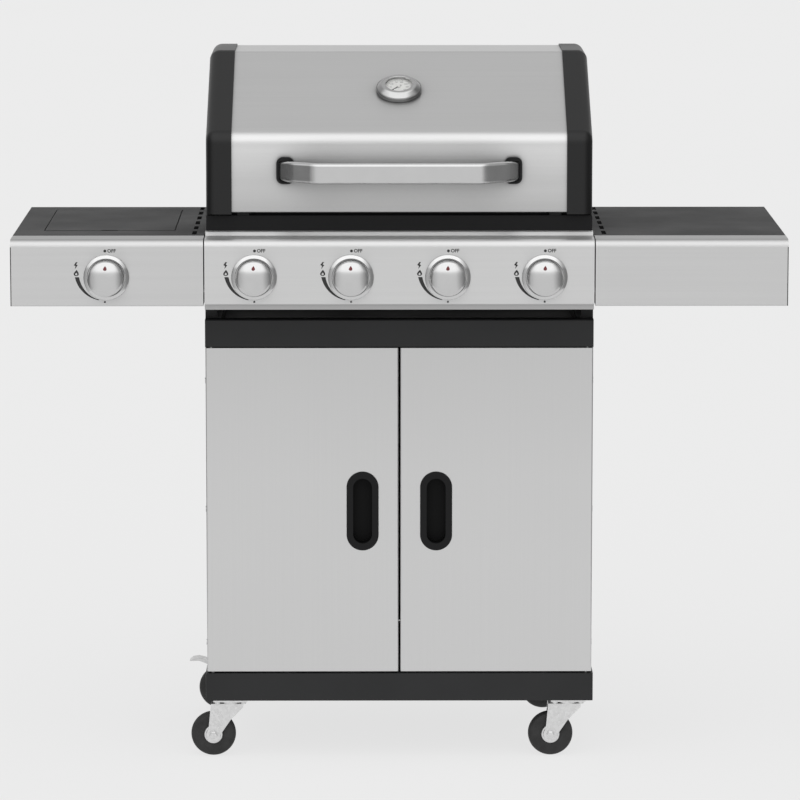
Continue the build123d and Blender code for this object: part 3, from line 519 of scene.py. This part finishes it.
def build_knob(name):
    """A knob's solid metal cap with its domed front, finger groove and red flame mark."""
    low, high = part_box(f"knob_{name}")
    mid = (low + high) / 2
    radius = (high.x - low.x) / 2
    depth = high.y - low.y
    face = []
    for i in range(DOME_STEPS + 1):
        tilt = asin((radius - 0.0016) / DOME) * i / DOME_STEPS
        face.append((DOME * sin(tilt), depth - 0.0001 - DOME * (1 - cos(tilt))))
    edge = face[-1][1]
    side = [face[-1], (radius - 0.0002, edge - 0.0016), (radius, edge - 0.0060), (radius - 0.0008, 0.0110),
            (radius, 0.0070), (radius, 0.0012), (radius - 0.0014, 0), (STEM_BORE, 0),
            (STEM_BORE, STEM_DEPTH), (0, STEM_DEPTH)]
    profile = face[:-1] + rounded(side, [0.0012, 0.002, 0.002, 0.002, 0.001, 0.001, 0.0005, 0.0005])
    bm = bmesh.new()
    lathe(bm, profile, (mid.x, high.y, mid.z), (0, -1, 0), steps=128, closed=False)
    piece(f"knob_cap_{name}", mesh_of(bm, "knob"), KNOB_METAL, f"dial_{name}", f"knob_{name}")

    up = radius * 0.64
    tilt = asin(up / DOME)
    sunk = low.y + DOME * (1 - cos(tilt)) + 0.0003
    place = facing_front(mid.x - 0.0006, sunk, mid.z + up) @ Matrix.Rotation(-tilt, 4, "X")
    bm = bmesh.new()
    flat_shape(bm, flame_outline(0.0082, width=0.5), place, 0.0005)
    piece(f"knob_flame_{name}", mesh_of(bm, "flame", smooth=False), RED_INK, f"dial_{name}")


def bezel_mesh(name):
    """The bright ring round a knob: a broad bevelled front, a lip and a deep inner wall."""
    mid = middle(f"knob_{name}")
    ring = [(0.0315, 0.0002), (0.0315, 0.0084), (0.0322, 0.0092), (0.0374, 0.0065), (0.0380, 0.0055),
            (0.0380, 0.0002)]
    profile = rounded(ring, [0.0005, 0.0005, 0.0005, 0.0006])
    bm = bmesh.new()
    lathe(bm, profile, (mid.x, PANEL_FACE_Y, mid.z), (0, -1, 0), steps=128)
    return mesh_of(bm, "bezel")


def build_bezels():
    """All five bezels, in one piece for the CAD node that holds them."""
    bm = bmesh.new()
    for name in KNOBS:
        mesh = bezel_mesh(name)
        bm.from_mesh(mesh)
        bpy.data.meshes.remove(mesh)
    piece("knob_bezel_rings", mesh_of(bm, "bezels"), CHROME, "trolley", "knob_bezels")


def print_panel(name):
    """The generic print round a knob: OFF and a dot, a bolt, two flames, and a sweep that thins."""
    mid = middle(f"knob_{name}")
    x, z, y = mid.x - (0.003 if name == "side" else 0), mid.z, PANEL_FACE_Y - 0.00002
    bm = bmesh.new()
    text_shape(bm, "OFF", 0.0080, facing_front(x + 0.0118, y, z + MARK_RISE))
    dot = [(0.0024 * cos(tau * i / 20), 0.0024 * sin(tau * i / 20)) for i in range(20)]
    flat_shape(bm, dot, facing_front(x + 0.0008, y, z + MARK_RISE))
    outer, inner = [], []
    for i in range(SWEEP_STEPS + 1):
        t = i / SWEEP_STEPS
        a = radians(180 + 76 * t)
        reach = 0.0400 + 0.0096 * (1 - t) ** 1.5
        outer.append((reach * cos(a), reach * sin(a)))
        reach = 0.0388 + 0.0037 * (1 - t) ** 2.5
        inner.append((reach * cos(a), reach * sin(a)))
    flat_shape(bm, outer + inner[::-1], facing_front(x, y, z))
    shape = flame_outline(0.0104, width=0.56)
    hollow = [(px * 0.42, pz * 0.42 - 0.0017) for px, pz in shape]
    ring_shape(bm, shape, hollow, facing_front(x - 0.0473, y, z + 0.0072))
    bolt = [(0.0030, 0.0058), (0.0002, 0.0060), (-0.0034, 0.0008), (-0.0005, -0.0006), (-0.0018, -0.0060),
            (0.0032, 0.0007), (0.0006, 0.0020)]
    flat_shape(bm, bolt, facing_front(x - 0.0478, y, z + 0.0193))
    flat_shape(bm, flame_outline(0.0040), facing_front(x, y, z - 0.0412))
    piece(f"panel_print_{name}", mesh_of(bm, "print", smooth=False), BLACK_INK, "trolley")


def build_fascia_edges():
    """The dark edge trim at each shelf front's outer end."""
    for side, way in (("left", 0), ("right", 1)):
        low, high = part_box(f"shelf_fascia_{side}")
        x = (low.x, high.x)[way]
        bm = bmesh.new()
        trim = bmesh.ops.create_cube(bm, size=1.0)
        size = (0.0015, 0.0080, high.z - low.z - 0.0130)
        centre = (x + (0.0006, -0.0006)[way], low.y + 0.0038, low.z + size[2] / 2 + 0.0005)
        bmesh.ops.transform(bm, matrix=Matrix.Translation(centre) @ Matrix.Diagonal((*size, 1)),
                            verts=trim["verts"])
        piece(f"fascia_edge_{side}", mesh_of(bm, "edge", smooth=False), BLACK_SHEET, "trolley")


# ---------------------------------------------------------------- thermometer
def dial_place():
    """The thermometer dial's frame: on its face, with x to the right and z out of the dial."""
    turn = Matrix.Rotation(DIAL_TILT, 4, "X")
    return Matrix.Translation(middle("thermometer_glass")) @ turn


def build_dial():
    """The dial's printed ticks and numbers, and its needle."""
    place = dial_place()
    axis = place.to_3x3() @ Vector((0, 0, 1))

    bm = bmesh.new()
    for i in range(TICKS):
        a = DIAL_START + DIAL_SWEEP * i / (TICKS - 1)
        inner, half = (0.0178, 0.00045) if i % 5 == 0 else (0.0195, 0.0002)
        outer = 0.0218
        tick = [(inner, -half), (outer, -half), (outer, half), (inner, half)]
        spin = Matrix.Rotation(a, 4, "Z")
        flat_shape(bm, tick, place @ Matrix.Translation((0, 0, PRINT_LEVEL)) @ spin)
    for i in range(NUMBERS):
        a = DIAL_START + DIAL_SWEEP * i / (NUMBERS - 1)
        at_x, at_y = 0.0142 * cos(a), 0.0142 * sin(a)
        text_shape(bm, str(50 * i), 0.0038, place @ Matrix.Translation((at_x, at_y, PRINT_LEVEL)))
    piece("thermometer_print", mesh_of(bm, "dial_print", smooth=False), GREY_INK, "lid")

    bm = bmesh.new()
    needle = [(-0.0008, -0.0050), (0.0008, -0.0050), (0.0008, 0.0060), (0.0002, 0.0160), (-0.0002, 0.0160),
              (-0.0008, 0.0060)]
    spin = Matrix.Rotation(NEEDLE_TURN, 4, "Z")
    flat_shape(bm, needle, place @ Matrix.Translation((0, 0, -0.0038)) @ spin, 0.0010)
    pivot = rounded([(0, 0.0016), (0.0024, 0.0016), (0.0034, 0)], 0.0006)
    lathe(bm, pivot, place @ Vector((0, 0, -0.0042)), axis, steps=32, closed=False)
    piece("thermometer_needle", mesh_of(bm, "needle"), NEEDLE_INK, "lid")


def build_thermometer_case():
    """The thermometer's polished bezel with a rolled inner lip, its skirt in a darker copy of the chrome as
    painted shade, and its probe.
    """
    place = dial_place()
    axis = place.to_3x3() @ Vector((0, 0, 1))
    base, top = -0.0118, 0.0030

    profile = rounded([(0.0245, base + 0.007), (0.0245, 0.0015), (0.0226, 0.0015), (0.0226, top - 0.0005),
                       (0.0240, top), (0.0290, top - 0.0006), (0.0360, top - 0.0062), (0.0380, base + 0.0060),
                       (0.0362, base + 0.0010), (0.0245, base + 0.0010)],
                      [0.0001, 0.0002, 0.0003, 0.0008, 0.0045, 0.0060, 0.0012, 0.0005])
    bm = bmesh.new()
    lathe(bm, profile, place.translation, axis, steps=128)
    piece("thermometer_bezel", mesh_of(bm, "thermometer"), BEZEL_METAL, "lid", "thermometer_case")

    skirt = rounded([(0.0250, base), (0.0376, base), (0.0384, base + 0.0030), (0.0383, base + 0.0068),
                     (0.0372, base + 0.0078), (0.0250, base + 0.0078)], [0.0005, 0.001, 0.001, 0.0005])
    bm = bmesh.new()
    lathe(bm, skirt, place.translation, axis, steps=128)
    piece("thermometer_skirt", mesh_of(bm, "skirt"), SKIRT_PAINTED_SHADE_METAL, "lid")

    probe = rounded([(0, base - 0.052), (0.003, base - 0.052), (0.004, base - 0.046), (0.004, base + 0.004),
                     (0, base + 0.004)], [0.002, 0.001, 0.0005])
    bm = bmesh.new()
    lathe(bm, probe, place.translation, axis, steps=32, closed=False)
    piece("thermometer_probe", mesh_of(bm, "probe"), ZINC, "lid")


# ---------------------------------------------------------------- casters
def build_wheel(name):
    """A caster wheel: a crowned solid tyre round a zinc hub with a stepped face on each side."""
    low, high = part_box(f"caster_wheel_{name}")
    mid = (low + high) / 2
    radius = (high.z - low.z) / 2
    half_hub = (high.y - low.y) / 2
    body = f"wheel_{name}"
    half = [(0.0163, 0.0106), (0.0185, 0.0112), (0.0300, 0.0120), (radius - 0.0030, 0.0108), (radius, 0.0040)]
    tread = [(r, -across) for r, across in half] + half[::-1]
    bends = [0.001, 0.003, 0.0055, 0.006]
    bm = bmesh.new()
    lathe(bm, rounded(tread, bends + bends[::-1]), mid, (0, 1, 0), steps=128)
    piece(f"tyre_{name}", mesh_of(bm, "tyre"), TREAD, body, f"caster_wheel_{name}")

    face = [(0.0046, half_hub), (0.0078, half_hub), (0.0090, half_hub - 0.0009), (0.0112, half_hub - 0.0009),
            (0.0122, half_hub - 0.0002), (0.0150, half_hub - 0.0004), (0.0162, half_hub - 0.0028)]
    hub = [(r, -across) for r, across in face] + [(r, across) for r, across in reversed(face)]
    bm = bmesh.new()
    lathe(bm, rounded(hub, 0.0006, steps=3), mid, (0, 1, 0), steps=96)
    piece(f"wheel_hub_{name}", mesh_of(bm, "hub"), ZINC, body)


def hexagon_head(bm, centre, axis, across, height):
    """A hexagonal bolt head with a washer face under it, standing along an axis."""
    radius = across / 2 / cos(pi / 6)
    rim, washer = across * 0.62, 0.0008
    lathe(bm, [(rim, 0), (rim, washer), (0, washer)], centre, axis, 32, closed=False)
    profile = [(radius, washer), (radius, height - 0.0006), (radius - 0.0009, height), (0, height)]
    lathe(bm, profile, centre, axis, 6, closed=False)


def build_axle_bolts(name):
    """The axle bolt's head and nut on both sides of a caster's fork."""
    wheel = middle(f"caster_wheel_{name}")
    low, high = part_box(f"caster_fork_{name}")
    bm = bmesh.new()
    for y, way in ((low.y + 0.0030, -1), (high.y - 0.0030, 1)):
        hexagon_head(bm, (wheel.x, y, wheel.z), (0, way, 0), 0.0115, 0.0052)
    piece(f"axle_bolt_{name}", mesh_of(bm, "axle_bolt"), ZINC, f"fork_{name}")


# ---------------------------------------------------------------- camera, lights, floor
def build_camera():
    """The camera: a long lens from a little above, looking slightly to the right."""
    camera = bpy.data.objects.new("camera", bpy.data.cameras.new("camera"))
    SCENE.collection.objects.link(camera)
    SCENE.camera = camera
    camera.location = CAMERA_PLACE
    level = cos(CAMERA_PITCH)
    look = Vector((sin(CAMERA_YAW) * level, cos(CAMERA_YAW) * level, -sin(CAMERA_PITCH)))
    camera.rotation_mode = "QUATERNION"
    camera.rotation_quaternion = look.to_track_quat("-Z", "Y")
    camera.data.sensor_width = 36
    camera.data.lens = 213.6
    camera.data.clip_end = 200


def world_ramp(tree, value, stops):
    """A grey ramp in the world's tree."""
    ramp = tree.nodes.new("ShaderNodeValToRGB")
    set_stops(ramp.color_ramp, stops)
    tree.links.new(value, ramp.inputs["Fac"])
    return ramp.outputs["Color"]


def build_light():
    """A pale studio: a bright soft box high in front, and walls that darken to the sides and back."""
    world = bpy.data.worlds.new("studio")
    SCENE.world = world
    world.use_nodes = True
    tree = world.node_tree
    place = tree.nodes.new("ShaderNodeTexCoord")
    parts = tree.nodes.new("ShaderNodeSeparateXYZ")
    tree.links.new(place.outputs["Generated"], parts.inputs["Vector"])
    half = tree.nodes.new("ShaderNodeVectorMath")
    half.operation = "MULTIPLY_ADD"
    half.inputs[1].default_value = (0.5, 0.5, 0.5)
    half.inputs[2].default_value = (0.5, 0.5, 0.5)
    tree.links.new(place.outputs["Generated"], half.inputs[0])
    halves = tree.nodes.new("ShaderNodeSeparateXYZ")
    tree.links.new(half.outputs["Vector"], halves.inputs["Vector"])
    front = world_ramp(tree, parts.outputs["Z"], FRONT_SKY)
    back = world_ramp(tree, parts.outputs["Z"], BACK_SKY)
    side = world_ramp(tree, halves.outputs["X"], SIDE_SKY)
    where = world_ramp(tree, halves.outputs["Y"], FRONT_TO_BACK)
    sky = tree.nodes.new("ShaderNodeMixRGB")
    tree.links.new(where, sky.inputs["Fac"])
    tree.links.new(front, sky.inputs["Color1"])
    tree.links.new(back, sky.inputs["Color2"])
    shade = tree.nodes.new("ShaderNodeMixRGB")
    shade.blend_type = "MULTIPLY"
    shade.inputs["Fac"].default_value = 1.0
    tree.links.new(sky.outputs["Color"], shade.inputs["Color1"])
    tree.links.new(side, shade.inputs["Color2"])
    tree.links.new(shade.outputs["Color"], tree.nodes["Background"].inputs["Color"])


def build_floor():
    """A pale floor that is narrow in front, widens to the horizon and glows a little."""
    bm = bmesh.new()
    corners = [(-FLOOR_FRONT[0], FLOOR_FRONT[1], 0), (*FLOOR_FRONT, 0), (*FLOOR_BACK, 0),
               (-FLOOR_BACK[0], FLOOR_BACK[1], 0)]
    bm.faces.new([bm.verts.new(corner) for corner in corners])
    floor = bpy.data.objects.new("floor", mesh_of(bm, "floor", smooth=False))
    SCENE.collection.objects.link(floor)
    n = Nodes("pale_floor")
    tones = n.ramp(n.noise((0.4, 0.4, 0.4), detail=2), [(0.3, 0.118), (0.7, 0.122)])
    floor.data.materials.append(n.surface(Base_Color=tones, Roughness=1.0, Specular_IOR_Level=0.0,
                                          Emission_Color=(1, 1, 1, 1), Emission_Strength=FLOOR_GLOW))


SCENE.view_settings.view_transform = "Standard"
dress_frame()
build_bezels()
for knob in KNOBS:
    build_knob(knob)
    print_panel(knob)
build_fascia_edges()
build_thermometer_case()
build_dial()
for caster in CASTERS:
    build_wheel(caster)
    build_axle_bolts(caster)
build_camera()
build_light()
build_floor()
